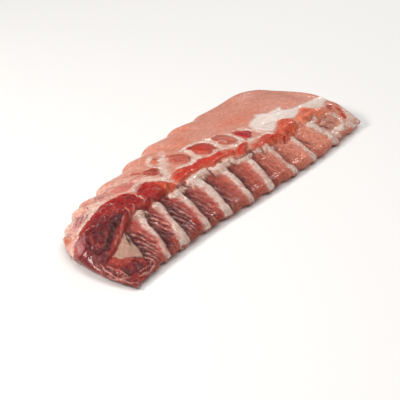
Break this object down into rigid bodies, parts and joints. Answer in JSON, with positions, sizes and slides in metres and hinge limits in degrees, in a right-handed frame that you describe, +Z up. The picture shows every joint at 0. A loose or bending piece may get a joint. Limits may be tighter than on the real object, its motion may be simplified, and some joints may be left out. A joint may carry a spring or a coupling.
{
  "type": "raw rack of back ribs",
  "caption": "Raw rack of back ribs lying bone side up: a slab of meat with rib bones along the sawn edge, a crest of muscle and a rounded loin side.",
  "frame": {"origin": "middle of the box around the rack, on its flat underside", "axes": "+X along the rack from its tapered end to its thick end, -Y the sawn rib ends, +Y the loin side, +Z up, bone side up"},
  "size_m": [0.4535, 0.1646, 0.0363],
  "materials": {
    "meat": "wet, dark red muscle with pale pink loin meat and white fat",
    "bone": "pale pink bone under a thin moist skin"
  },
  "bodies": {
    "root": {"meat": "meat", "rib_01": "bone", "rib_02": "bone", "rib_03": "bone", "rib_04": "bone", "rib_05": "bone", "rib_06": "bone", "rib_07": "bone", "rib_08": "bone", "rib_09": "bone", "rib_10": "bone"}
  },
  "joints": []
}
